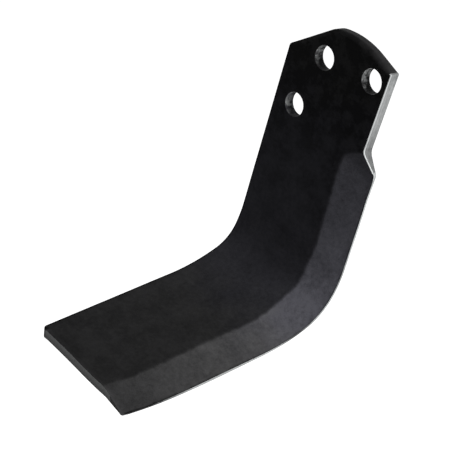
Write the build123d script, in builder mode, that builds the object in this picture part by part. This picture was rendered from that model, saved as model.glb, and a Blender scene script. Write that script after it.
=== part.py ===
"""Rotary tiller blade: one L-shaped blade, forged from flat bar, with three bolt holes in its shank.

The shank stands upright with its mounting face in the XZ plane. The origin is the centre of the middle
bolt hole on that face. X runs across the blade to the cutting edge, Y is the bolts' axis, and Z is up.
The foot bends away from the mounting face, towards -Y.
"""
import os
from math import cos, radians, sin, sqrt

from build123d import *

os.makedirs("parts", exist_ok=True)

# Bar
thickness = 7.0
blade_width = 82.6            # back edge to cutting edge, on the foot and below the notch
edge_round = 0.5              # broken corners of the bar

# Bend, as radii and angles of the inside face, from the shank down to the foot
bend_below_middle_hole = 111.0
shank_bend_radius = 66.0
shank_bend_angle = 13.0
heel_radius = 23.0
heel_angle = 49.0
foot_bend_radius = 110.0
foot_bend_angle = 18.0

# Bolt holes, the middle one from the back edge and the others from the middle one
bolt_hole_diameter = 14.5
middle_hole_from_back = 27.5
lower_hole = (-11.5, -35.5)
front_hole = (36.5, 3.6)
hole_rim_round = 0.4

# Outline of the shank, with widths from the back edge and heights from the middle bolt hole
front_hole_to_front_edge = 11.2
front_edge_draw_in = 1.0      # the shank narrows by this much from its top corner to the notch
notch_below_middle_hole = 36.2
notch_round = 2.0
shoulder_height = 10.6        # the slope under the notch, out to the full width
shoulder_round = 3.0
back_corner_below_middle_hole = 3.9
crown_above_middle_hole = 21.0
crown_from_back = 43.5
crown_radius = 57.0
crown_start_from_back = 29.0  # the straight top edge meets the crown here
crown_start_round = 14.0
top_corner_round = 1.5

# Outline of the foot
foot_flat = 93.5              # straight part of the foot, up to the square end of the tip
tip_spread = 2.3              # the hammered corner runs past the square end by this much
tip_draw_in = 4.8             # the cutting edge draws in this far towards the tip
tip_curve_length = 54.0       # length of the drawn-in stretch
tip_back_round = 2.5
tip_front_round = 1.5

# Cutting edge
edge_land = 1.1               # flat left standing along the cutting edge
bevel_width = 21.6
bevel_top_drop = 6.8          # the bevel's back corner lies this far below the notch
bevel_top_slope = 27.0        # and its top line rises from there to the notch at this angle
ramp_run = 14.5               # the bevel reaches its full depth this far below the notch
ramp_round = 12.0             # hollow where the ramp runs into the bevel
tip_sections = 5              # sections that draw the bevel in towards the tip

back_x = -middle_hole_from_back
front_x = back_x + blade_width
top_corner_x = front_hole[0] + front_hole_to_front_edge
notch_x = top_corner_x - front_edge_draw_in
bevel_x = front_x - bevel_width
bevel_depth = thickness - edge_land
notch_z = -notch_below_middle_hole
bend_z = -bend_below_middle_hole
bend_angle = radians(shank_bend_angle + heel_angle + foot_bend_angle)
overlap = 2.0                 # reach of the cutters past the metal


def bend_line(shank_length: float, foot_length: float) -> Wire:
    """Draws the inside face of the blade as seen from its back edge.

    Args:
        shank_length: Length of the straight stretch drawn up the shank from the bend.
        foot_length: Length of the straight stretch drawn along the foot from the bend.

    Returns:
        The line from the shank down to the foot, with Y as its x and Z as its y.
    """
    with BuildLine() as line:
        shank = Line((-thickness, bend_z + shank_length), (-thickness, bend_z))
        upper = JernArc(shank @ 1, shank % 1, shank_bend_radius, -shank_bend_angle)
        heel = JernArc(upper @ 1, upper % 1, heel_radius, -heel_angle)
        lower = JernArc(heel @ 1, heel % 1, foot_bend_radius, -foot_bend_angle)
        PolarLine(lower @ 1, foot_length, direction=lower % 1)
    return line.wire()


def edge_x(along_curve: float) -> float:
    """Place of the cutting edge this far along its drawn-in stretch."""
    radius = (tip_curve_length**2 + tip_draw_in**2) / (2 * tip_draw_in)
    return front_x - radius + sqrt(radius**2 - along_curve**2)


def bevel_section(cutting_edge_x: float) -> Sketch:
    """Draws the section of the metal taken off for the bevel, which leaves a land at the cutting edge.

    Args:
        cutting_edge_x: Place of the cutting edge.

    Returns:
        The section, with y out of the inside face.
    """
    slope = bevel_depth / (cutting_edge_x - bevel_x)
    reach = cutting_edge_x + overlap
    with BuildSketch() as section:
        with BuildLine():
            Polyline((bevel_x, 0), (reach, -slope * (reach - bevel_x)), (reach, overlap), close=True)
        make_face()
    return section.sketch


def foot_section(from_bend: float) -> Plane:
    """Plane across the foot this far from the bend, with its y out of the inside face."""
    return Plane(origin=foot_face.from_local_coords((0, -from_bend, 0)), x_dir=(1, 0, 0), z_dir=-foot_face.y_dir)


# Inside faces of the shank and of the foot
shank_face = Plane.XZ.offset(thickness)
bend_end = bend_line(overlap, overlap).vertices().sort_by(Axis.Y)[1]
foot_face = Plane(origin=(0, bend_end.X, bend_end.Y), x_dir=(1, 0, 0), z_dir=(0, -cos(bend_angle), sin(bend_angle)))

# The shank's corners
crown_centre_z = crown_above_middle_hole - crown_radius
crown_start_z = crown_centre_z + sqrt(crown_radius**2 - (crown_from_back - crown_start_from_back) ** 2)
crown_end_z = crown_centre_z + sqrt(crown_radius**2 - (top_corner_x - back_x - crown_from_back) ** 2)
back_corner = (back_x, -back_corner_below_middle_hole)
crown_start = (back_x + crown_start_from_back, crown_start_z)
crown_top = (back_x + crown_from_back, crown_above_middle_hole)
crown_end = (top_corner_x, crown_end_z)
notch = (notch_x, notch_z)
shoulder = (front_x, notch_z - shoulder_height)

# The foot's corners
tip_end = foot_flat + tip_spread
curve_start = tip_end - tip_curve_length
tip_corner = (edge_x(tip_curve_length), -tip_end)

with BuildPart() as bevel:
    # From above the notch down the shank, round the bend and along the foot
    with BuildLine():
        add(Plane.YZ.from_local_coords(bend_line(notch_z - bend_z + overlap, curve_start)))
    with BuildSketch(Plane(origin=(0, -thickness, notch_z + overlap), x_dir=(1, 0, 0), z_dir=(0, 0, -1))):
        add(bevel_section(front_x))
    sweep()
    # Along the drawn-in stretch, to past the tip
    for step in range(tip_sections):
        along = step * (tip_curve_length + overlap) / (tip_sections - 1)
        with BuildSketch(foot_section(curve_start + along)):
            add(bevel_section(edge_x(along)))
    loft()
    # The ramp at the top, down from the notch
    bevel_corner = shank_face.from_local_coords((bevel_x, notch_z - bevel_top_drop, 0))
    full_depth = shank_face.from_local_coords((front_x, notch_z - ramp_run, -bevel_depth))
    top_line = Vector(cos(radians(bevel_top_slope)), 0, sin(radians(bevel_top_slope)))
    ramp_out = (full_depth - bevel_corner).cross(top_line)
    split(bisect_by=Plane(origin=bevel_corner, z_dir=ramp_out), keep=Keep.TOP)
    fillet(edges().sort_by_distance((bevel_corner + full_depth) / 2)[0], radius=ramp_round)

with BuildPart() as blade:
    # Shank, with its arched end and the shoulder under the notch
    with BuildSketch(shank_face) as shank_outline:
        with BuildLine():
            Line(back_corner, crown_start)
            ThreePointArc(crown_start, crown_top, crown_end)
            Polyline(crown_end, notch, shoulder, (front_x, bend_z), (back_x, bend_z), back_corner)
        make_face()
        for corner, corner_radius in (
            (back_corner, top_corner_round),
            (crown_start, crown_start_round),
            (crown_end, top_corner_round),
            (notch, notch_round),
            (shoulder, shoulder_round),
        ):
            fillet(vertices().sort_by_distance(corner)[0], radius=corner_radius)
    extrude(amount=-thickness)
    # Bend
    with BuildSketch(Plane.YZ.offset(back_x)):
        with BuildLine():
            add(bend_line(overlap, overlap))
            offset(amount=thickness, side=Side.LEFT)
        make_face()
    extrude(amount=blade_width)
    # Foot, with its drawn-in cutting edge and spread corner
    with BuildSketch(foot_face):
        with BuildLine():
            Polyline((back_x, -foot_flat), (back_x, 0), (front_x, 0), (front_x, -curve_start))
            curve_middle = (edge_x(tip_curve_length / 2), -curve_start - tip_curve_length / 2)
            ThreePointArc((front_x, -curve_start), curve_middle, tip_corner)
            Polyline(tip_corner, (bevel_x, -foot_flat), (back_x, -foot_flat))
        make_face()
        fillet(vertices().sort_by_distance((back_x, -foot_flat))[0], radius=tip_back_round)
        fillet(vertices().sort_by_distance(tip_corner)[0], radius=tip_front_round)
    extrude(amount=-thickness)
    # Broken corners all round the outline, on both faces
    seams = edges().filter_by(Axis.X).group_by(SortBy.LENGTH)[-1]
    upright_corners = edges().filter_by(GeomType.LINE).group_by(SortBy.LENGTH)[0]
    fillet(edges() - seams - upright_corners, radius=edge_round)
    # Bolt holes, punched from the inside face, which rolls their rims over on that side
    with Locations(shank_face):
        with Locations((0, 0), lower_hole, front_hole):
            Hole(radius=bolt_hole_diameter / 2)
    rims = edges(Select.LAST).filter_by(GeomType.CIRCLE).group_by(Axis.Y)[0]
    fillet(rims, radius=hole_rim_round)
    add(bevel.part, mode=Mode.SUBTRACT)

blade.part.label = "tiller_blade"
export_step(blade.part, "parts/tiller_blade.step")
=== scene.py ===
"""Rotary tiller blade, forged from flat steel bar and painted black, in a plain white studio.

The blade is drawn flat first, as the bar lies before it is bent. Across runs from its back edge to its
cutting edge, down runs from its middle bolt hole towards its tip, and depth runs from its inside face into
the metal. Lengths are in millimetres until the mesh is made. In the model's frame X runs across the blade,
Y out of its mounting face and Z up its shank.
"""
import logging
from dataclasses import dataclass, field
from enum import IntEnum
from math import atan2, cos, pi, radians, sin, sqrt, tan

import bpy
import numpy as np
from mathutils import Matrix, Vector
from mathutils.geometry import delaunay_2d_cdt


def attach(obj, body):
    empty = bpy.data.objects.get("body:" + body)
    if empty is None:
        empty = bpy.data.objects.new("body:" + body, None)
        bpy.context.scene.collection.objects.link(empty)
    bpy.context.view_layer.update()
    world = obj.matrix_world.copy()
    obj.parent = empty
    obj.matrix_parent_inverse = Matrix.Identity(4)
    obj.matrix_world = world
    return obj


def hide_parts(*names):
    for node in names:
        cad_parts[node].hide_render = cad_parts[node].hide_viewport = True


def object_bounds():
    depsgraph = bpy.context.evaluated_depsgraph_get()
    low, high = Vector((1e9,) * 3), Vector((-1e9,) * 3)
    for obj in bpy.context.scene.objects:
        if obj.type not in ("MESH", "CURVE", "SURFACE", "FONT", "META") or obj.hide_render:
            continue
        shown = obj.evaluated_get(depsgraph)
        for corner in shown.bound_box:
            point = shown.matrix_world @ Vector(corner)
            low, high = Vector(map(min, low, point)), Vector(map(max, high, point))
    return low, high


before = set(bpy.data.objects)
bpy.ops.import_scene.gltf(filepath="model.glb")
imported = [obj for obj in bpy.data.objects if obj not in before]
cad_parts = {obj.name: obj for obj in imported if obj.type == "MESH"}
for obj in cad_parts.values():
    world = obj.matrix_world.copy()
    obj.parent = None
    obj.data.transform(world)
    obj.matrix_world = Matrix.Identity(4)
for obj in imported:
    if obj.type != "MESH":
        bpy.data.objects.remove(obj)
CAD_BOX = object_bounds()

log = logging.getLogger("tiller_blade")
MM = 0.001
FULL_TURN = 2.0 * pi
BAR_THICKNESS = 7.0
MIDDLE_HOLE_FROM_BACK = 27.5
TRIANGLES_INSIDE = 1  # what the triangulation hands back
SAME_POINT = 1e-5

Array = np.ndarray
Pair = tuple[float, float]
Triple = tuple[float, float, float]
Colour = Triple
WearAndPaintedLight = Triple  # share of bare steel, its brightness, and how much greyer the paint is, with painted light and shade in them
Ring = tuple[Array, Array]  # the numbers of a ring's points, and their places in the flat blade
Rings = tuple[Ring, Ring]  # a wall's ring on the inside face, and that on the outside face


class Signal:
    """An output of a shader node, on which numbers are worked out as Python expressions."""

    def __init__(self, tree: "ShaderTree", socket: bpy.types.NodeSocket | None) -> None:
        """Keeps the tree and the socket, which a node without outputs doesn't have."""
        self.tree = tree
        self.socket = socket

    def math(self, operation: str, *values: "Signal | float", clamp: bool = False) -> "Signal":
        """Adds a Math node with these inputs and hands back its result."""
        settings = {"operation": operation, "use_clamp": clamp}
        return self.tree.node("ShaderNodeMath", settings, dict(enumerate(values)))

    def __add__(self, other: "Signal | float") -> "Signal":
        """Sum."""
        return self.math("ADD", self, other)

    __radd__ = __add__

    def __sub__(self, other: "Signal | float") -> "Signal":
        """Difference."""
        return self.math("SUBTRACT", self, other)

    def __rsub__(self, other: float) -> "Signal":
        """Difference from a number."""
        return self.math("SUBTRACT", other, self)

    def __mul__(self, other: "Signal | float") -> "Signal":
        """Product."""
        return self.math("MULTIPLY", self, other)

    __rmul__ = __mul__

    def greater(self, other: "Signal") -> "Signal":
        """The greater of the two."""
        return self.math("MAXIMUM", self, other)

    def step(self, low: float, high: float) -> "Signal":
        """Smooth step from 0 at low to 1 at high."""
        settings = {"interpolation_type": "SMOOTHSTEP", "clamp": True}
        return self.tree.node(
            "ShaderNodeMapRange", settings, {"Value": self, "From Min": low, "From Max": high}
        )

    def at_most_one(self) -> "Signal":
        """The signal held between 0 and 1."""
        return self.math("ADD", self, 0.0, clamp=True)

    def other(self, output: str) -> "Signal":
        """Another output of the same node."""
        return Signal(self.tree, self.socket.node.outputs[output])


@dataclass(frozen=True)
class Noise:
    """A noise over the flat blade, with its scale per millimetre."""

    scale: float
    detail: float = 3.0
    roughness: float = 0.6


class ShaderTree:
    """A material's or a world's nodes, with one method that adds any of them."""

    def __init__(self, owner: bpy.types.Material | bpy.types.World) -> None:
        """Empties the owner's nodes.

        Args:
            owner: The material or the world.
        """
        owner.use_nodes = True
        self.tree = owner.node_tree
        self.tree.nodes.clear()

    def node(
        self, kind: str, settings: dict | None = None, inputs: dict | None = None, output: str | int = 0
    ) -> Signal:
        """Adds a node.

        Args:
            kind: The node's type.
            settings: Its properties, set before its inputs.
            inputs: Values or signals by socket name or number.
            output: The output that is handed back.

        Returns:
            That output.
        """
        made = self.tree.nodes.new(kind)
        for name, value in (settings or {}).items():
            setattr(made, name, value)
        for key, value in (inputs or {}).items():
            if isinstance(value, Signal):
                self.tree.links.new(value.socket, made.inputs[key])
            else:
                made.inputs[key].default_value = value
        return Signal(self, made.outputs[output] if made.outputs else None)

    def attribute(self, name: str, output: str = "Fac") -> Signal:
        """Reads one of the mesh's attributes."""
        return self.node("ShaderNodeAttribute", {"attribute_name": name}, output=output)

    def noise(self, place: Signal, noise: Noise) -> Signal:
        """Noise from about 0 to 1 over a place."""
        inputs = {"Vector": place, "Scale": noise.scale, "Detail": noise.detail, "Roughness": noise.roughness}
        return self.node("ShaderNodeTexNoise", {"noise_dimensions": "3D"}, inputs, "Fac")

    def mix(
        self, factor: Signal | float, first: Signal | Colour, second: Signal | Colour, blend: str = "MIX"
    ) -> Signal:
        """Mixes two colours.

        Args:
            factor: Share of the second colour.
            first: The first colour.
            second: The second colour.
            blend: The way of mixing.

        Returns:
            The mixed colour.
        """
        inputs = {0: factor, 6: first, 7: second}
        inputs = {key: (*value, 1.0) if isinstance(value, tuple) else value for key, value in inputs.items()}
        return self.node("ShaderNodeMix", {"data_type": "RGBA", "blend_type": blend}, inputs, 2)

    def finish(self, surface: Signal, output: str = "ShaderNodeOutputMaterial") -> None:
        """Joins the surface to the tree's output node."""
        self.node(output, inputs={"Surface": surface})


@dataclass(frozen=True)
class Unevenness:
    """The place in the flat blade, and the noises over it from the widest to the finest."""

    flat: Signal
    cloud: Signal
    blotch: Signal
    mottle: Signal
    drawn: Signal
    grain: Signal


@dataclass(frozen=True)
class SatinPaint:
    """Thin black paint over forging scale, drawn grey by rubbing and by painted light, and colder round the
    bend.
    """

    colour: Colour = (0.0048, 0.0048, 0.0050)
    # the grey that rubbing and painted light both draw the paint towards
    rubbed_and_painted_light: Colour = (0.105, 0.104, 0.107)
    warm: Colour = (1.0, 1.0, 0.99)
    cold: Colour = (0.97, 0.97, 1.10)
    roughness: float = 0.55
    specular: float = 0.02
    by_cloud: float = 0.6
    by_mottle: float = 0.6
    by_grain: float = 0.5
    unevenness: float = 1.6
    blotch_edge: Pair = (0.38, 0.62)
    blotch: float = 0.15
    blotch_lost: float = 0.35  # where the paint is drawn grey by rubbing and by painted light
    tint_per_mm: float = 0.0125
    tint_by_cloud: float = 0.8
    cold_from: Pair = (0.3, 0.9)
    cold_to: Pair = (2.1, 2.9)

    def over(self, rubbed_and_painted_light: Signal, uneven: Unevenness) -> Signal:
        """The paint's colour.

        Args:
            rubbed_and_painted_light: How far the paint is drawn grey, partly by rubbing and partly by painted
                light and shade.
            uneven: The noises.

        Returns:
            The colour.
        """
        tree = rubbed_and_painted_light.tree
        varied = (
            (uneven.cloud - 0.5) * self.by_cloud
            + (uneven.mottle - 0.5) * self.by_mottle
            + (uneven.grain - 0.5) * self.by_grain
        )
        blotches = (uneven.blotch.step(*self.blotch_edge) - 0.5) * (self.blotch - rubbed_and_painted_light * self.blotch_lost)
        grey = (rubbed_and_painted_light * (1.0 + varied * self.unevenness) + blotches).at_most_one()
        down = tree.node("ShaderNodeSeparateXYZ", inputs={0: uneven.flat}, output="Y")
        tint = down * self.tint_per_mm + uneven.cloud * self.tint_by_cloud
        cold = tint.step(*self.cold_from) * (1.0 - tint.step(*self.cold_to))
        paint = tree.mix(grey, self.colour, self.rubbed_and_painted_light)
        return tree.mix(1.0, paint, tree.mix(cold, self.warm, self.cold), "MULTIPLY")


@dataclass(frozen=True)
class BareSteel:
    """Steel without paint, from dark scale to a ground face."""

    scale: Colour = (0.03, 0.03, 0.03)
    ground: Colour = (0.40, 0.41, 0.41)
    roughness: float = 0.68
    least: float = 0.1
    by_drawn: float = 1.1
    by_mottle: float = 0.7
    by_grain: float = 0.3

    def over(self, steel_bright_and_highlight: Signal, uneven: Unevenness) -> Signal:
        """The steel's colour.

        Args:
            steel_bright_and_highlight: How bright the steel is, with painted highlights on some rims and
                painted light and shade in the holes.
            uneven: The noises.

        Returns:
            The colour.
        """
        streaked = steel_bright_and_highlight * (self.least + uneven.drawn * self.by_drawn + uneven.mottle * self.by_mottle)
        ground = (streaked + (uneven.grain - 0.5) * self.by_grain).at_most_one()
        return steel_bright_and_highlight.tree.mix(ground, self.scale, self.ground)


@dataclass(frozen=True)
class BladeFinish:
    """The blade's whole finish: paint, which wearing has taken down to steel along its front side face and
    its cutting edge, with painted light and shade in both.
    """

    paint: SatinPaint = SatinPaint()
    steel: BareSteel = BareSteel()
    cloud: Noise = Noise(0.045)
    blotch: Noise = Noise(0.075, 4.0, 0.7)
    mottle: Noise = Noise(0.35, 3.0, 0.65)
    drawn: Noise = Noise(1.1)
    stretch: Triple = (1.0, 0.08, 1.0)
    grain: Noise = Noise(1.6)
    bare: float = 1.5
    chipped_by_mottle: float = 0.9
    chipped_by_grain: float = 0.3
    chipping: float = 1.1
    chip_edge: Pair = (0.1, 0.35)
    bump: float = 0.5
    bump_height: float = 0.0001
    bump_by_grain: float = 0.6

    def material(self) -> bpy.types.Material:
        """Builds the material from the blade's own attributes.

        Returns:
            The material.
        """
        material = bpy.data.materials.new("black_paint_worn_to_steel_with_painted_light")
        tree = ShaderTree(material)
        flat = tree.attribute("flat_place", "Vector")
        drawn_out = tree.node("ShaderNodeVectorMath", {"operation": "MULTIPLY"}, {0: flat, 1: self.stretch})
        uneven = Unevenness(
            flat=flat,
            cloud=tree.noise(flat, self.cloud),
            blotch=tree.noise(flat, self.blotch),
            mottle=tree.noise(flat, self.mottle),
            drawn=tree.noise(drawn_out, self.drawn),
            grain=tree.noise(flat, self.grain),
        )
        chips = uneven.mottle * self.chipped_by_mottle + uneven.grain * self.chipped_by_grain
        mask = (tree.attribute("bare") * self.bare + chips - self.chipping).step(*self.chip_edge)
        # the paint's grey share holds rubbing and painted light
        paint = self.paint.over(tree.attribute("rubbed_and_painted_light"), uneven)
        # the steel's brightness holds painted highlights and painted light and shade
        steel = self.steel.over(tree.attribute("steel_bright_and_highlight"), uneven)
        relief = uneven.grain * self.bump_by_grain + uneven.mottle
        bump = {"Strength": self.bump, "Distance": self.bump_height, "Height": relief}
        surface = {
            "Base Color": tree.mix(mask, paint, steel),
            "Metallic": mask,
            "Roughness": mask * (self.steel.roughness - self.paint.roughness) + self.paint.roughness,
            "Specular IOR Level": self.paint.specular,
            "Normal": tree.node("ShaderNodeBump", inputs=bump),
        }
        tree.finish(tree.node("ShaderNodeBsdfPrincipled", inputs=surface))
        return material


def grey(tone: float) -> tuple[float, ...]:
    """An even grey."""
    return (tone, tone, tone, 1.0)


@dataclass(frozen=True)
class Lamp:
    """A soft square lamp that faces the blade, in watts, metres and degrees."""

    name: str
    power: float
    away: Triple
    size: float = 0.5
    distance: float = 1.3
    spread: float = 50.0

    def hang(self) -> None:
        """Hangs the lamp out from the blade's middle, and turns it to face that."""
        data = bpy.data.lights.new(self.name, "AREA")
        data.shape, data.size = "SQUARE", self.size
        data.energy, data.spread = self.power, radians(self.spread)
        thing = bpy.data.objects.new(self.name, data)
        middle = (Vector(CAD_BOX[0]) + Vector(CAD_BOX[1])) / 2
        direction = Vector(self.away).normalized()
        thing.location = middle + direction * self.distance
        thing.rotation_euler = direction.to_track_quat("Z", "Y").to_euler()
        bpy.context.collection.objects.link(thing)


@dataclass(frozen=True)
class Viewpoint:
    """The camera, where the photograph was taken from, in metres and degrees."""

    place: Triple = (0.50246, -0.63064, 0.31097)
    turn: Triple = (60.738, -14.062, 48.590)
    lens: float = 121.135
    sensor: float = 36.0

    def build(self) -> None:
        """Makes the camera."""
        data = bpy.data.cameras.new("camera")
        data.sensor_fit, data.sensor_width, data.lens = "HORIZONTAL", self.sensor, self.lens
        thing = bpy.data.objects.new("camera", data)
        thing.location = self.place
        thing.rotation_euler = [radians(angle) for angle in self.turn]
        bpy.context.collection.objects.link(thing)
        bpy.context.scene.camera = thing


@dataclass(frozen=True)
class Studio:
    """White floor and backdrop, a soft lamp at the right and a weaker one behind, and the camera."""

    lamps: tuple[Lamp, ...] = (Lamp("key", 2.1, (0.95, -0.03, 0.31)), Lamp("back", 1.3, (-0.22, 0.97, 0.04)))
    viewpoint: Viewpoint = Viewpoint()
    floor_drop: float = 0.06
    floor_size: float = 6.0
    floor_tone: float = 0.8
    floor_glow: float = 0.93  # what the camera sees of the floor in any light
    floor_shade: float = 0.55  # and what it sees in the lamps' light, so that the shadow shows
    backdrop: float = 0.985
    fill: float = 0.10

    def build(self) -> None:
        """Makes the floor, the world, the lamps and the camera."""
        self.floor()
        self.world()
        for lamp in self.lamps:
            lamp.hang()
        self.viewpoint.build()

    @staticmethod
    def white_to_camera(lit: Signal, white: Signal) -> Signal:
        """Shows white to the camera, to glossy and to transmitted rays, and the lit surface to all others.

        Args:
            lit: The surface that the blade is lit by.
            white: The white surface.

        Returns:
            The surface that shows one or the other.
        """
        seen = lit.tree.node("ShaderNodeLightPath", output="Is Camera Ray")
        seen = seen.greater(seen.other("Is Glossy Ray")).greater(seen.other("Is Transmission Ray"))
        return lit.tree.node("ShaderNodeMixShader", inputs={0: seen, 1: lit, 2: white})

    def floor(self) -> None:
        """Lays the pale floor under the blade."""
        material = bpy.data.materials.new("pale_floor")
        tree = ShaderTree(material)
        lit = tree.node("ShaderNodeBsdfDiffuse", inputs={"Color": grey(self.floor_tone)})
        glow = tree.node("ShaderNodeEmission", inputs={"Color": grey(1.0), "Strength": self.floor_glow})
        shaded = tree.node("ShaderNodeBsdfDiffuse", inputs={"Color": grey(self.floor_shade)})
        white = tree.node("ShaderNodeAddShader", inputs={0: glow, 1: shaded})
        tree.finish(self.white_to_camera(lit, white))
        half = self.floor_size / 2
        low = CAD_BOX[0][2] - self.floor_drop
        corners = [(-half, -half, low), (half, -half, low), (half, half, low), (-half, half, low)]
        mesh = bpy.data.meshes.new("studio_floor")
        mesh.from_pydata(corners, [], [(0, 1, 2, 3)])
        mesh.materials.append(material)
        thing = bpy.data.objects.new("studio_floor", mesh)
        bpy.context.collection.objects.link(thing)

    def world(self) -> None:
        """Sets the even light from all round and the white backdrop."""
        world = bpy.data.worlds.new("studio")
        tree = ShaderTree(world)
        lit, white = (
            tree.node("ShaderNodeBackground", inputs={"Color": grey(1.0), "Strength": strength})
            for strength in (self.fill, self.backdrop)
        )
        tree.finish(self.white_to_camera(lit, white), "ShaderNodeOutputWorld")
        bpy.context.scene.world = world


class Side(IntEnum):
    """Stretches of the outline, named as they lie on the blade."""

    BACK = 0
    CROWN = 1
    FRONT = 2
    SHOULDER = 3
    EDGE = 4
    TIP = 5


class Face(IntEnum):
    """The blade's two faces, with the sign of the way from each into the metal."""

    INSIDE = 1
    OUTSIDE = -1


@dataclass(frozen=True)
class Swell:
    """A smooth swelling along the blade."""

    at: float
    length: float
    height: float = 1.0

    def over(self, along: Array) -> Array:
        """Its height at these places."""
        return self.height * np.exp(-(((along - self.at) / self.length) ** 2))


@dataclass(frozen=True)
class Slope:
    """An even rise along the blade up to a height that stays, which with a negative length faces back."""

    start: float
    length: float
    height: float = 1.0

    def over(self, along: Array) -> Array:
        """Its height at these places."""
        return self.height * np.clip((along - self.start) / self.length, 0.0, 1.0)


@dataclass(frozen=True)
class Ripple:
    """Gentle unevenness of a hammered or rolled face, summed from seeded waves."""

    length: float
    height: float
    seed: int
    waves: int = 9
    lengths: Pair = (0.7, 1.6)

    def over(self, spots: Array) -> Array:
        """Its height at these places.

        Args:
            spots: Places across and down.

        Returns:
            The heights.
        """
        across, down = spots.T
        chance = np.random.default_rng(self.seed)
        total = np.zeros_like(down)
        for _ in range(self.waves):
            angle, phase = chance.uniform(0.0, FULL_TURN, 2)
            reach = self.length * chance.uniform(*self.lengths)
            total += np.sin(FULL_TURN * (across * cos(angle) + down * sin(angle)) / reach + phase)
        return self.height * (total / sqrt(self.waves * 2.0))


def unit(vectors: Array) -> Array:
    """Vectors brought to length 1."""
    return vectors / np.linalg.norm(vectors, axis=-1, keepdims=True)


def nearest(spots: Array, others: Array, batch: int = 2000) -> Array:
    """Distance from each spot to the nearest of the others, measured for a batch of spots at a time."""
    batches = (spots[first : first + batch, None] for first in range(0, len(spots), batch))
    return np.concatenate([np.hypot(*(some - others).transpose(2, 0, 1)).min(1) for some in batches])


def within(spots: Array, loop: Array) -> Array:
    """Tells which spots lie inside a closed loop.

    Args:
        spots: The spots.
        loop: The loop's points.

    Returns:
        True for each spot inside.
    """
    x, y = spots[:, :1], spots[:, 1:]
    x1, y1 = loop.T
    x2, y2 = np.roll(loop, -1, 0).T
    crosses = ((y1 > y) != (y2 > y)) & (x < (x2 - x1) * (y - y1) / np.where(y2 == y1, 1.0, y2 - y1) + x1)
    return crosses.sum(1) % 2 == 1


@dataclass(frozen=True)
class Bend:
    """The bend, as the inside face runs from the shank down to the foot, in arcs of a radius and an angle."""

    thickness: float = BAR_THICKNESS
    start: float = 111.0
    arcs: tuple[Pair, ...] = ((66.0, 13.0), (23.0, 49.0), (110.0, 18.0))

    def turned(self, down: Array) -> Array:
        """Angle through which the blade has turned.

        Args:
            down: Places down.

        Returns:
            The angles.
        """
        total, begin = np.zeros_like(down), self.start
        for radius, angle in self.arcs:
            total = total + np.clip((down - begin) / radius, 0.0, radians(angle))
            begin += radius * radians(angle)
        return total

    def place(self, flat: Array) -> Array:
        """Bends the flat blade.

        Args:
            flat: Points across, down and into the flat blade.

        Returns:
            The points in the model's frame.
        """
        across, down, depth = flat.T
        y = np.full_like(down, -self.thickness)
        z = -np.minimum(down, self.start)
        begin, angle = self.start, 0.0
        for radius, arc in self.arcs:
            reached = angle + np.clip((down - begin) / radius, 0.0, radians(arc))
            y -= radius * (cos(angle) - np.cos(reached))
            z -= radius * (np.sin(reached) - sin(angle))
            begin += radius * radians(arc)
            angle += radians(arc)
        over = np.maximum(down - begin, 0.0)
        turned = self.turned(down)
        y += depth * np.cos(turned) - over * sin(angle)
        z -= depth * np.sin(turned) + over * cos(angle)
        return np.stack([across - MIDDLE_HOLE_FROM_BACK, y, z], 1)

    def wall_normals(self, down: Array, outward: Array) -> Array:
        """Turns a wall's normals from the flat blade's plane into the model's frame."""
        (across, along), turned = outward.T, self.turned(down)
        return np.stack([across, -along * np.sin(turned), -along * np.cos(turned)], 1)


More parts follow.
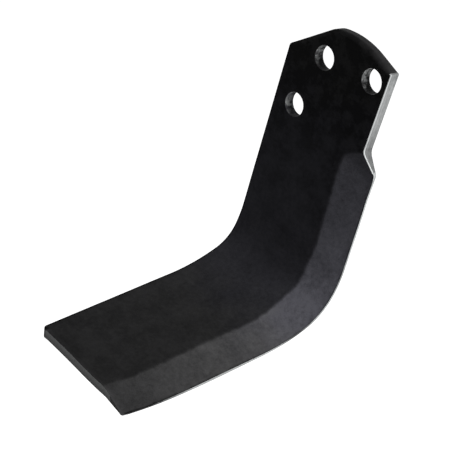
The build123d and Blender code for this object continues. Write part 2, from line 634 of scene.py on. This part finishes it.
@dataclass(frozen=True)
class Outline:
    """The flat blade's outline, walked round from the back edge over the crown to the front and the tip."""

    width: float = 82.6
    back_corner: float = 3.9
    back_round: float = 3.0
    crown_from_back: float = 43.5
    crown_height: float = 20.99
    crown_radius: float = 57.0
    crown_start: float = 29.0
    crown_start_round: float = 14.0
    crown_end: float = 62.0  # the crown runs straight from here to the front
    front_top: float = 75.6
    front_top_round: float = 0.9
    front_notch: float = 74.2
    notch: float = 36.2
    notch_round: float = 7.0
    shoulder: float = 46.8
    shoulder_round: float = 3.0
    draw_in: float = 4.8
    draw_in_length: float = 54.0
    tip: float = 273.71
    tip_spread: float = 2.3
    tip_front_round: float = 1.5
    tip_back_round: float = 2.5
    tip_bow: Swell = Swell(50.0, 20.0, 0.85)
    tip_bow_fade: float = 6.0
    bevel_line: float = 61.0
    edge_swells: tuple[Swell, ...] = (
        Swell(134.0, 15.0, 0.45),
        Swell(63.0, 9.0, 0.25),
        Swell(183.0, 22.0, 0.2),
        Swell(232.0, 14.0, 0.25),
    )
    swells_from: float = 2.0  # below the shoulder
    swells_to: float = 6.0  # short of the tip
    swells_fade: float = 20.0
    spacing: float = 1.2
    corner_steps: int = 5
    crown_start_steps: int = 8
    arc_over_chord: float = 1.1

    def draw_in_radius(self) -> float:
        """Radius of the cutting edge's curve towards the tip."""
        return (self.draw_in_length**2 + self.draw_in**2) / (2.0 * self.draw_in)

    def curve_start(self) -> float:
        """Place down the blade where the cutting edge starts to draw in."""
        return self.tip + self.tip_spread - self.draw_in_length

    def edge(self, down: Array) -> Array:
        """Place across the blade of the cutting edge.

        Args:
            down: Places down.

        Returns:
            The places across.
        """
        over = np.clip(down - self.curve_start(), 0.0, self.draw_in_length)
        radius = self.draw_in_radius()
        line = self.width - radius + np.sqrt(radius**2 - over**2)
        fade = Slope(self.tip - self.swells_to, -self.swells_fade).over(down)
        return line - fade * sum(swell.over(down) for swell in self.edge_swells)

    def run(self, start: Array, end: Array) -> Array:
        """Evenly spaced points from start up to but without end."""
        count = max(1, round(float(np.linalg.norm(end - start)) / self.spacing))
        return start + (end - start) * (np.arange(count) / count)[:, None]

    @staticmethod
    def arc(centre: Array, start: Array, end: Array, steps: int) -> Array:
        """Goes round a circle from start to end by the shorter way.

        Args:
            centre: The circle's centre.
            start: The first point.
            end: The last point.
            steps: Number of steps between them.

        Returns:
            The points, both ends included.
        """
        first, last = (atan2(*(point - centre)[::-1]) for point in (start, end))
        sweep = (last - first + pi) % FULL_TURN - pi
        angles = first + sweep * np.linspace(0.0, 1.0, steps + 1)
        return centre + np.linalg.norm(start - centre) * np.stack([np.cos(angles), np.sin(angles)], 1)

    def corner(self, before: Array, at: Array, after: Array, radius: float) -> Array:
        """Rounds a corner between two straight runs.

        Args:
            before: A point on the run that leads to the corner.
            at: The corner.
            after: A point on the run that leads away.
            radius: The corner's radius.

        Returns:
            The arc's points.
        """
        back, on = unit(before - at), unit(after - at)
        half = np.arccos(back @ on) / 2.0
        centre = at + unit(back + on) * radius / sin(half)
        start, end = (at + way * radius / tan(half) for way in (back, on))
        return self.arc(centre, start, end, self.corner_steps)

    def crown_centre(self) -> Array:
        """Centre of the crown's arc."""
        return np.array([self.crown_from_back, self.crown_radius - self.crown_height])

    def on_crown(self, across: float) -> Array:
        """The crown's point at this place across the blade."""
        x, y = self.crown_centre()
        return np.array([across, y - sqrt(self.crown_radius**2 - (across - x) ** 2)])

    def crown_start_arc(self, corner: Array, top: Array) -> Array:
        """Rounds the run from the back corner into the crown.

        Args:
            corner: The back corner.
            top: The crown's first point, where that run would meet it.

        Returns:
            The arc's points.
        """
        centre, radius = self.crown_centre(), self.crown_start_round
        slope = unit(top - corner)
        inward = np.array([-slope[1], slope[0]])
        away = corner + inward * radius - centre
        along = -away @ slope + sqrt((away @ slope) ** 2 - away @ away + (self.crown_radius - radius) ** 2)
        middle = corner + slope * along + inward * radius
        end = centre + unit(middle - centre) * self.crown_radius
        return self.arc(middle, middle - inward * radius, end, self.crown_start_steps)

    def walk(self) -> tuple[Array, Array]:
        """Walks round the blade.

        Returns:
            The outline's points and the side that each lies on.
        """
        crown_centre = self.crown_centre()
        back = np.array([0.0, self.back_corner])
        start, straight = self.on_crown(self.crown_start), self.on_crown(self.crown_end)
        fall = (self.crown_end - crown_centre[0]) / (crown_centre[1] - straight[1])
        front = np.array([self.front_top, straight[1] + (self.front_top - self.crown_end) * fall])
        notch = np.array([self.front_notch, self.notch])
        shoulder = np.array([self.width, self.shoulder])
        edge_start = np.array([self.width, self.curve_start()])
        curve_centre = np.array([self.width - self.draw_in_radius(), self.curve_start()])
        tip_corner = np.array([self.width - self.draw_in, self.tip + self.tip_spread])
        spoke = tip_corner - curve_centre
        before_tip = tip_corner + np.array([spoke[1], -spoke[0]])
        spread = np.array([self.bevel_line, self.tip])
        square = np.array([0.0, self.tip])

        back_arc = self.corner(square, back, start, self.back_round)
        start_arc = self.crown_start_arc(back, start)
        front_arc = self.corner(straight, front, notch, self.front_top_round)
        notch_arc = self.corner(front, notch, shoulder, self.notch_round)
        shoulder_arc = self.corner(notch, shoulder, edge_start, self.shoulder_round)
        tip_arc = self.corner(before_tip, tip_corner, spread, self.tip_front_round)
        square_arc = self.corner(spread, square, back, self.tip_back_round)
        crown_steps = round((self.crown_end - start_arc[-1][0]) * self.arc_over_chord / self.spacing)
        crown = self.arc(crown_centre, start_arc[-1], straight, crown_steps)
        curve = self.arc(curve_centre, edge_start, tip_arc[0], round(self.draw_in_length / self.spacing))
        stretches = (  # each with its side, and with that of the straight run to the next one
            (back_arc, Side.BACK, Side.CROWN),
            (start_arc, Side.CROWN, Side.CROWN),
            (crown[1:], Side.CROWN, Side.CROWN),
            (front_arc, Side.FRONT, Side.FRONT),
            (notch_arc, Side.SHOULDER, Side.SHOULDER),
            (shoulder_arc, Side.EDGE, Side.EDGE),
            (curve[:-1], Side.EDGE, Side.EDGE),
            (tip_arc, Side.TIP, Side.TIP),
            (spread[None], Side.TIP, Side.TIP),
            (square_arc, Side.BACK, Side.BACK),
        )
        walked, passed = [], []
        for (stretch, side, run_side), (following, *_) in zip(stretches, stretches[1:] + stretches[:1]):
            run = self.run(stretch[-1], following[0])[1:]
            walked += [stretch, run]
            passed += [side] * len(stretch) + [run_side] * len(run)
        points, sides = np.concatenate(walked), np.array(passed)
        on_edge = (sides == Side.EDGE) & (points[:, 1] > self.shoulder + self.swells_from)
        points[on_edge, 0] = self.edge(points[on_edge, 1])
        on_tip = sides == Side.TIP
        across = points[on_tip, 0]
        fade = Slope(self.width - self.draw_in, -self.tip_bow_fade).over(across)
        points[on_tip, 1] += self.tip_bow.over(across) * fade
        return points, sides

    @staticmethod
    def normals(points: Array) -> Array:
        """Outward normals of a closed loop that is walked as the outline is."""
        tangents = unit(np.roll(points, -1, 0) - np.roll(points, 1, 0))
        return np.stack([tangents[:, 1], -tangents[:, 0]], 1)


@dataclass(frozen=True)
class Bevel:
    """The forged bevel along the cutting edge, with its ramp at the notch."""

    outline: Outline = Outline()
    thickness: float = BAR_THICKNESS
    land: float = 1.1
    wider_land: Swell = Swell(210.0, 22.0, 0.5)
    ramp_corner: Pair = (outline.bevel_line, 42.3)
    ramp_slope: float = 27.0
    ramp_full: Pair = (outline.width, 50.7)
    valley: float = 1.4
    crease: float = 0.3
    hammering: Ripple = Ripple(13.0, 0.10, 5)
    jog: float = 0.22
    nick: float = 0.15
    jog_waves: tuple[Pair, ...] = ((2.3, 0.0), (7.1, 1.0), (1.1, 2.0))
    line_swells: tuple[Swell, ...] = (
        Swell(58.0, 9.0, -0.5),
        Swell(79.0, 7.0, 0.5),
        Swell(101.0, 9.0, 1.5),
        Swell(120.0, 5.0, -0.5),
        Swell(143.0, 11.0, -1.2),
        Swell(166.0, 9.0, 0.6),
        Swell(205.0, 14.0, -0.4),
        Swell(270.0, 8.0, -2.4),
    )

    def line(self, down: Array) -> Array:
        """Place across the blade of the line where the bevel starts.

        Args:
            down: Places down.

        Returns:
            The places across.
        """
        blow, row, nick = (np.sin(down / length + phase) for length, phase in self.jog_waves)
        jogs = self.jog * blow * row + self.nick * nick
        return self.outline.bevel_line + jogs + sum(swell.over(down) for swell in self.line_swells)

    def below_ramp(self, across: Array | float, down: Array | float) -> Array | float:
        """Distance below the line where the ramp starts."""
        slope = radians(self.ramp_slope)
        return (down - self.ramp_corner[1]) * cos(slope) + (across - self.ramp_corner[0]) * sin(slope)

    @staticmethod
    def rounding(apart: Array, reach: float) -> Array:
        """How far a rounded crease lies off the sharp one, from how far apart its two sides are there."""
        return (np.maximum(reach - np.abs(apart), 0.0) / reach) ** 2 * reach / 4.0

    def depth(self, spots: Array) -> Array:
        """Depth of the inside face under the bar's own face.

        Args:
            spots: Places across and down.

        Returns:
            The depths.
        """
        across, down = spots.T
        full = self.thickness - self.land - self.wider_land.over(down)
        line = self.line(down)
        wedge = (across - line) * full / (self.outline.edge(down) - line)
        hammered = self.hammering.over(spots)
        wedge = wedge + hammered * np.clip(wedge, 0.0, 1.0) * np.clip(full - wedge, 0.0, 1.0)
        ramp = self.below_ramp(across, down) * full / self.below_ramp(*self.ramp_full)
        cut = np.minimum(wedge, ramp) - self.rounding(wedge - ramp, self.valley)
        return np.maximum(cut, 0.0) + self.rounding(cut, self.crease)


@dataclass(frozen=True)
class Lattice:
    """How a face's points are spread, closer on the bevel and along its creases than on the flat."""

    coarse: float = 2.4
    fine: float = 1.2
    top: float = -20.0
    past_tip: float = 2.0
    from_back: float = 1.6  # where the flat's points begin
    line_steps: tuple[float, ...] = (-2.4, -1.3, -0.7, -0.1, 0.5, 1.2, 2.2)
    line_clear: Pair = (3.2, 3.3)  # from the line to the flat's and to the bevel's points
    edge_clear: float = 0.4
    edge_from: float = 44.0
    ramp_run: Triple = (0.5, 16.0, 0.7)  # start, end and step up the ramp's crease
    ramp_steps: tuple[float, ...] = (-1.0, -0.3, 0.4, 1.1)
    ramp_clear: float = 0.35
    rim_clear: float = 0.54

    def spots(self, bevel: Bevel) -> Array:
        """Spreads the points over the blade and a little past it.

        Args:
            bevel: The blade's bevel, which knows the outline.

        Returns:
            The points.
        """
        found, outline = [], bevel.outline
        for number, down in enumerate(np.arange(self.top, outline.tip + self.past_tip, self.fine)):
            at = np.array([down])
            line = float(bevel.line(at)[0])
            edge = float(outline.edge(at)[0]) if down > self.edge_from else outline.width
            places = [line + step for step in self.line_steps]
            places += list(np.arange(line + self.line_clear[1], edge - self.edge_clear, self.fine))
            if number % 2 == 0:
                places = list(np.arange(self.from_back, line - self.line_clear[0], self.coarse)) + places
            found += [(across, down) for across in places]
        spots = np.array(found)
        slope = radians(bevel.ramp_slope)
        steps = np.arange(*self.ramp_run)
        for off in self.ramp_steps:
            across = bevel.ramp_corner[0] + steps * cos(slope) + off * sin(slope)
            down = bevel.ramp_corner[1] - steps * sin(slope) + off * cos(slope)
            line = np.stack([across, down], 1)
            spots = np.concatenate([spots[nearest(spots, line) > self.ramp_clear], line])
        return spots


@dataclass(frozen=True)
class Rims:
    """Radii of the rims that forging and shearing rolled over, on the inside and on the outside face."""

    sides: dict[Side, Pair] = field(
        default_factory=lambda: {
            Side.BACK: (0.5, 0.4),
            Side.CROWN: (1.3, 0.6),
            Side.FRONT: (0.7, 0.5),
            Side.SHOULDER: (0.8, 0.5),
            Side.EDGE: (0.5, 0.15),
            Side.TIP: (0.6, 1.0),
        }
    )
    arch_roll: float = 0.8
    arch_roll_run: float = 12.0
    arch_end: float = 1.0
    arch_end_fade: float = 6.0
    arch_end_least: float = 0.3
    smoothing: int = 2
    keen: float = 0.25  # on the inside face where the bevel has thinned the edge
    keen_from: Slope = Slope(0.2, 1.0)
    shoulder_keen: float = 0.3
    land_share: float = 0.45
    hole: float = 0.4
    hole_behind: float = 0.05

    def radii(self, outline: Outline, points: Array, sides: Array, sunk: Array) -> Array:
        """Radii of the outline's two rims.

        Args:
            outline: The blade's outline.
            points: The outline's points.
            sides: The side that each lies on.
            sunk: How far the bevel lies under the bar's face beside each.

        Returns:
            The radii on the inside face, and those on the outside face.
        """
        radii = np.array([self.sides[Side(side)] for side in sides])
        arch = sides == Side.CROWN
        across = points[arch, 0]
        end = Slope(outline.front_top + self.arch_end, -self.arch_end_fade).over(across)
        radii[arch, 0] += Slope(outline.crown_start, self.arch_roll_run, self.arch_roll).over(across)
        radii[arch, 0] *= np.maximum(end, self.arch_end_least)
        for _ in range(self.smoothing):
            radii = (np.roll(radii, 1, 0) + radii + np.roll(radii, -1, 0)) / 3.0
        keen = self.keen_from.over(sunk) * np.where(sides == Side.SHOULDER, self.shoulder_keen, 1.0)
        inner = radii[:, 0] + (self.keen - radii[:, 0]) * keen
        return np.stack([inner, np.minimum(radii[:, 1], (BAR_THICKNESS - sunk) * self.land_share)])


@dataclass(frozen=True)
class WallWearAndPaintedLight:
    """Wear of the wall round the blade, with painted highlights and painted dark lines: its inner rim, its
    inner and outer ends, and its outer rim.
    """

    # the front's and the shoulder's bright inner rims are painted highlights, and the darker paint on the
    # back's and the edge's inner rims and on the tip's outer rim is painted shade
    sides: dict[Side, tuple[WearAndPaintedLight, ...]] = field(
        default_factory=lambda: {
            Side.BACK: ((0.0, 0.0, -0.3), (0.1, 0.1, 0.0), (0.1, 0.1, 0.0), (0.0, 0.0, 0.0)),
            Side.CROWN: ((0.0, 0.0, 0.12), (0.1, 0.1, 0.17), (0.1, 0.1, 0.26), (0.1, 0.1, 0.34)),
            Side.FRONT: ((1.0, 1.5, 0.0), (1.0, 0.66, 0.0), (1.0, 0.57, 0.0), (1.0, 0.7, 0.0)),
            Side.SHOULDER: ((1.0, 1.9, 0.0), (1.0, 0.50, 0.0), (1.0, 0.36, 0.0), (0.9, 0.4, 0.0)),
            Side.EDGE: ((1.0, 1.0, -0.4), (1.0, 1.0, 0.0), (1.0, 1.0, 0.0), (1.0, 0.9, 0.0)),
            Side.TIP: ((0.4, 0.16, 0.1), (0.9, 0.13, 0.0), (0.9, 0.01, 0.0), (0.0, 0.0, -0.2)),
        }
    )
    edge_bare: Slope = Slope(266.0, -26.0)
    edge_bright: Slope = Slope(258.0, -34.0)
    edge_least: float = 0.04
    tip_bare: Slope = Slope(69.0, -6.0)
    dull: tuple[Swell, ...] = (
        Swell(-12.0, 3.0, 0.3),
        Swell(34.0, 13.0, 0.3),
        Swell(118.0, 12.0, 0.5),
        Swell(153.0, 14.0, 0.9),
        Swell(212.0, 34.0, 0.36),
    )

    def lines(self, points: Array, sides: Array) -> Array:
        """Wear, painted highlights and painted dark lines along the wall's four lines.

        Args:
            points: The outline's points.
            sides: The side that each lies on.

        Returns:
            The wear of each line at each point.
        """
        table = np.array([self.sides[Side(side)] for side in sides])
        across, down = points.T
        edge, tip = sides == Side.EDGE, sides == Side.TIP
        table[edge, :, 0] *= self.edge_bare.over(down[edge])[:, None]
        table[edge, :, 1] *= np.maximum(self.edge_bright.over(down[edge]), self.edge_least)[:, None]
        table[tip, :, 0] *= self.tip_bare.over(across[tip])[:, None]
        dull = sum(swell.over(down) for swell in self.dull)
        table[:, :, 1] *= np.clip(1.0 - dull, 0.0, 1.0)[:, None]
        return table.transpose(1, 0, 2)


@dataclass(frozen=True)
class HoleWearAndPaintedLight:
    """Wear of the punched holes' walls, streaked along them and brighter at the inside face, with painted
    light above and painted shade below.
    """

    # all round, painted light above, and in the streaks
    front: tuple[WearAndPaintedLight, WearAndPaintedLight, WearAndPaintedLight] = ((0.50, 0.20, 0.36), (0.0, 0.26, 0.40), (0.02, 0.03, 0.02))
    behind: tuple[WearAndPaintedLight, WearAndPaintedLight, WearAndPaintedLight] = ((0.46, 0.08, 0.24), (0.0, 0.10, 0.20), (0.02, 0.025, 0.03))
    outer_rim: float = 0.3
    streak_tail: float = 0.8
    above: float = 2.5  # the direction of the painted light, brightest there, in radians up from the cutting edge's side
    # painted shade on the wall's lowest part: where it starts, and what it takes from the shares of bare
    # steel, brightness and grey
    below: Slope = Slope(0.35, 0.65)
    painted_shade_below: WearAndPaintedLight = (0.2, 0.8, 0.6)
    brightness: tuple[float, ...] = (1.1, 1.5, 1.7)

    def lines(self, angles: Array, number: int) -> Array:
        """Wear, painted light and painted shade along the four lines of a hole's wall.

        Args:
            angles: The points' angles round the hole.
            number: The hole's number, which is also the seed of its streaks.

        Returns:
            Each line's share of bare steel, brightness and grey at each point, painted light and shade
            included.
        """
        streak = np.random.default_rng(number).normal(0.0, 1.0, (len(angles), 1))
        streak = streak + np.roll(streak, 1, 0) * self.streak_tail
        # painted light, brightest towards the direction above
        above = 0.5 + 0.5 * np.cos(angles - self.above)[:, None]
        # painted shade towards the lowest part of the wall, times each hole's brightness
        kept = 1.0 - np.array(self.painted_shade_below) * self.below.over(-np.sin(angles))[:, None]
        kept = kept * np.array([1.0, self.brightness[number], 1.0])
        front, behind = (
            (all_round + above * raised + streak * streaked) * kept
            for all_round, raised, streaked in np.array([self.front, self.behind])
        )
        return np.stack([np.zeros_like(front), front, behind, behind * self.outer_rim])


@dataclass(frozen=True)
class RubbedPaintAndPaintedLight:
    """Paint greyed by rubbing and by painted light: least at the bolted end, most on the bevel and round the
    bend.
    """

    bolted_end: float = 0.012
    down_face: tuple[Slope | Swell, ...] = (
        Slope(10.0, 90.0, 0.23),
        # painted sheen on the face round the bend
        Swell(145.0, 28.0, 0.08),
        Slope(170.0, 100.0, -0.04),
    )
    bevel_top: float = 0.26
    down_bevel: tuple[Slope | Swell, ...] = (
        # painted highlight on the bevel round the bend
        Swell(145.0, 28.0, 0.34),
        Swell(200.0, 25.0, 0.15),
        Slope(240.0, 20.0, -0.06),
    )
    into_bevel: Slope = Slope(0.0, 0.35)
    inside_to: float = 6.6
    hammered_down: Slope = Slope(262.0, 8.0, 0.5)
    hammered_across: Slope = Slope(70.0, -10.0)

    def over(self, flat: Array, sunk: Array) -> Array:
        """How far the paint is greyed at these points, by rubbing and by painted light.

        Args:
            flat: The points in the flat blade.
            sunk: How far the bevel lies under the bar's face at each.

        Returns:
            The share of grey, from rubbing and from painted light.
        """
        across, down, depth = flat.T
        face = sum((part.over(down) for part in self.down_face), self.bolted_end)
        bevel = sum((part.over(down) for part in self.down_bevel), self.bevel_top)
        hammered = self.hammered_down.over(down) * self.hammered_across.over(across)
        return face + self.into_bevel.over(sunk) * (depth < self.inside_to) * (1.0 - hammered) * bevel


@dataclass
class Draft:
    """The blade's mesh while it is drawn."""

    flat: list[Array] = field(default_factory=list)
    normals: list[Array] = field(default_factory=list)
    wear_and_painted_light: list[Array] = field(default_factory=list)
    faces: list[tuple[int, ...]] = field(default_factory=list)

    def add(self, flat: Array, normals: Array, wear_and_painted_light: Array) -> Array:
        """Adds points.

        Args:
            flat: The points in the flat blade.
            normals: Their normals in the model's frame.
            wear_and_painted_light: Their share of bare steel, brightness and grey, painted highlights and
                shade included.

        Returns:
            The points' numbers.
        """
        numbers = np.arange(len(flat)) + sum(len(part) for part in self.flat)
        self.flat.append(flat)
        self.normals.append(unit(normals))
        self.wear_and_painted_light.append(np.broadcast_to(wear_and_painted_light, (len(flat), 3)))
        return numbers

    def join(self, first: Array, second: Array) -> None:
        """Joins two rings of points with faces."""
        for a, b, c, d in zip(first, np.roll(first, -1), np.roll(second, -1), second):
            self.faces.append((int(a), int(b), int(c), int(d)))


@dataclass(frozen=True)
class TillerBlade:
    """The whole blade, one forging, with its mesh as it is drawn."""

    bend: Bend = Bend()
    outline: Outline = Outline()
    bevel: Bevel = Bevel(outline)
    lattice: Lattice = Lattice()
    rims: Rims = Rims()
    wall_wear_and_painted_light: WallWearAndPaintedLight = WallWearAndPaintedLight()
    hole_wear_and_painted_light: HoleWearAndPaintedLight = HoleWearAndPaintedLight()
    rubbed_and_painted_light: RubbedPaintAndPaintedLight = RubbedPaintAndPaintedLight()
    finish: BladeFinish = BladeFinish()
    holes: tuple[Pair, ...] = ((16.0, 35.5), (MIDDLE_HOLE_FROM_BACK, 0.0), (64.0, -3.6))
    hole_radius: float = 7.25
    hole_points: int = 72
    rim_steps: int = 3
    unevenness: float = 0.035
    inside_ripples: tuple[Ripple, ...] = (Ripple(34.0, 0.6, 2), Ripple(12.0, 0.4, 3))
    outside_ripple: Ripple = Ripple(30.0, 0.9, 4)
    probe: float = 0.05
    beside_edge: float = 0.3
    draft: Draft = field(default_factory=Draft)

    def depth(self, face: Face, spots: Array) -> Array:
        """Depth of a face, with the bevel and the forging's unevenness.

        Args:
            face: The inside face, or the outside face, which is the mounting face on the shank.
            spots: Places across and down.

        Returns:
            The depths.
        """
        if face is Face.OUTSIDE:
            uneven = np.maximum(1.0 + self.outside_ripple.over(spots), 0.0)
            return self.bend.thickness - self.unevenness * uneven
        uneven = sum((ripple.over(spots) for ripple in self.inside_ripples), 1.0)
        return self.bevel.depth(spots) + self.unevenness * uneven

    def on_face(self, face: Face, spots: Array) -> Array:
        """Points of a face in the flat blade."""
        return np.column_stack([spots, self.depth(face, spots)])

    def face_normals(self, face: Face, spots: Array) -> Array:
        """Normals of a bent face, from two short steps on it.

        Args:
            face: The face.
            spots: Places across and down.

        Returns:
            The unit normals.
        """
        over, along = (
            np.subtract(*(self.bend.place(self.on_face(face, spots + way)) for way in (step, -step)))
            for step in self.probe * np.eye(2)
        )
        return unit(np.cross(over, along) * -float(face))

    def cover(self, face: Face, rings: list[Ring]) -> None:
        """Fills a face of the blade between its rim and the holes' rims.

        Args:
            face: The face.
            rings: The face's rim, and then each hole's.
        """
        loops = [places for _, places in rings]
        spots = self.lattice.spots(self.bevel)
        spots = spots[within(spots, loops[0])]
        spots = spots[nearest(spots, np.concatenate(loops)) > self.lattice.rim_clear]
        for hole in self.holes:
            spots = spots[np.hypot(*(spots - np.array(hole)).T) > self.hole_radius + self.rims.hole]
        inner = self.draft.add(self.on_face(face, spots), self.face_normals(face, spots), np.zeros(3))
        numbers = np.concatenate([numbers for numbers, _ in rings] + [inner])
        points = np.concatenate(loops + [spots])
        edges, first = [], 0
        for loop in loops:
            edges += [(first + i, first + (i + 1) % len(loop)) for i in range(len(loop))]
            first += len(loop)
        made, _, triangles, origin, *_ = delaunay_2d_cdt(
            [Vector(point) for point in points], edges, [], TRIANGLES_INSIDE, SAME_POINT
        )
        back = [int(numbers[source[0]]) for source in origin]
        middles = np.array([(made[a] + made[b] + made[c]) / 3.0 for a, b, c in triangles])
        solid = ~np.any([within(middles, loop) for loop in loops[1:]], axis=0)
        for a, b, c in (triangle for triangle, kept in zip(triangles, solid) if kept):
            corners = (back[a], back[b], back[c])
            self.draft.faces.append(corners if face is Face.OUTSIDE else corners[::-1])

    def rim(self, points: Array, outward: Array, radii: Array, wear_and_painted_light: Array) -> Rings:
        """Makes the wall round the outline or a hole, with its rounded rims.

        Args:
            points: The wall's flat places.
            outward: Its normals in the flat blade.
            radii: Radii of the rims on the inside and on the outside face, at each point.
            wear_and_painted_light: Wear of the inner rim, the wall's inner and outer ends and the outer rim,
                at each point, with painted highlights and painted shade.

        Returns:
            The rings of its two rims.
        """
        wall = self.bend.wall_normals(points[:, 1], outward)
        painted = np.array([0.0, 1.0, 1.0])
        rings, ends = [], []
        for face, radius, rolled, walled in (
            (Face.INSIDE, radii[0], wear_and_painted_light[0], wear_and_painted_light[1]),
            (Face.OUTSIDE, radii[1], wear_and_painted_light[3], wear_and_painted_light[2]),
        ):
            inset = points - outward * radius[:, None]
            level = self.depth(face, inset)
            flat_normals = self.face_normals(face, inset)
            side = []
            for step in range(self.rim_steps + 1):
                angle = pi / 2.0 * step / self.rim_steps
                spot = points - outward * (radius * (1.0 - sin(angle)))[:, None]
                depth = level + face * radius * (1.0 - cos(angle))
                # each ring's share of bare steel, brightness and grey, painted highlights and painted shade
                # included
                worn_and_painted_light = (rolled if step else rolled * painted) if step < self.rim_steps else walled
                normals = flat_normals * cos(angle) + wall * sin(angle)
                side.append(self.draft.add(np.column_stack([spot, depth]), normals, worn_and_painted_light))
            ends.append((side[0], inset))
            rings.append(side)
        loop = rings[0] + rings[1][::-1]
        for first, second in zip(loop, loop[1:]):
            self.draft.join(first, second)
        return ends[0], ends[1]

    def outer_wall(self) -> Rings:
        """Makes the wall round the outline.

        Returns:
            The rings of its two rims.
        """
        points, sides = self.outline.walk()
        sunk = self.depth(Face.INSIDE, points - np.array([self.beside_edge, 0.0]))
        radii = self.rims.radii(self.outline, points, sides, sunk)
        wear_and_painted_light = self.wall_wear_and_painted_light.lines(points, sides)
        return self.rim(points, self.outline.normals(points), radii, wear_and_painted_light)

    def hole_wall(self, number: int) -> Rings:
        """Makes the wall of a bolt hole.

        Args:
            number: The hole's number.

        Returns:
            The rings of its two rims.
        """
        angles = np.linspace(0.0, FULL_TURN, self.hole_points, False)
        circle = np.stack([np.cos(angles), -np.sin(angles)], 1)
        points = np.array(self.holes[number]) + circle * self.hole_radius
        radii = np.full((self.hole_points, 2), (self.rims.hole, self.rims.hole_behind)).T
        return self.rim(points, -circle, radii, self.hole_wear_and_painted_light.lines(angles, number))

    def build(self) -> bpy.types.Object:
        """Draws the flat blade, bends it and makes the piece.

        Returns:
            The piece.
        """
        walls = [self.outer_wall()] + [self.hole_wall(number) for number in range(len(self.holes))]
        self.cover(Face.INSIDE, [inner for inner, _ in walls])
        self.cover(Face.OUTSIDE, [outer for _, outer in walls])
        thing = self.piece()
        thing.data.materials.append(self.finish.material())
        return thing

    def piece(self) -> bpy.types.Object:
        """Makes the mesh from what was drawn, and rides it on the frame.

        Returns:
            The piece.
        """
        flat = np.concatenate(self.draft.flat)
        mesh = bpy.data.meshes.new("forged_blade")
        mesh.from_pydata(self.bend.place(flat) * MM, [], self.draft.faces)
        mesh.update()
        mesh.shade_smooth()
        mesh.normals_split_custom_set_from_vertices(np.concatenate(self.draft.normals).tolist())
        mesh.attributes.new("flat_place", "FLOAT_VECTOR", "POINT").data.foreach_set("vector", flat.ravel())
        # the steel's brightness and the paint's grey hold painted highlights and painted shade as well as
        # real wearing
        bare, steel_bright_and_highlight, greyer_and_painted_light = np.concatenate(self.draft.wear_and_painted_light).T
        sunk = self.bevel.depth(flat[:, :2])
        rubbed_and_painted_light = self.rubbed_and_painted_light.over(flat, sunk) + greyer_and_painted_light
        for name, values in (("bare", bare), ("steel_bright_and_highlight", steel_bright_and_highlight), ("rubbed_and_painted_light", rubbed_and_painted_light)):
            mesh.attributes.new(name, "FLOAT", "POINT").data.foreach_set("value", values)
        thing = bpy.data.objects.new("forged_blade", mesh)
        bpy.context.collection.objects.link(thing)
        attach(thing, "root")
        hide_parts("tiller_blade")
        return thing


def main() -> None:
    """Builds the studio and the blade."""
    logging.basicConfig(level=logging.INFO, format="%(message)s")
    Studio().build()
    log.info("studio")
    blade = TillerBlade().build()
    log.info("forged_blade: %d faces", len(blade.data.polygons))
    bpy.context.scene.view_settings.view_transform = "Standard"


if __name__ == "__main__":
    main()
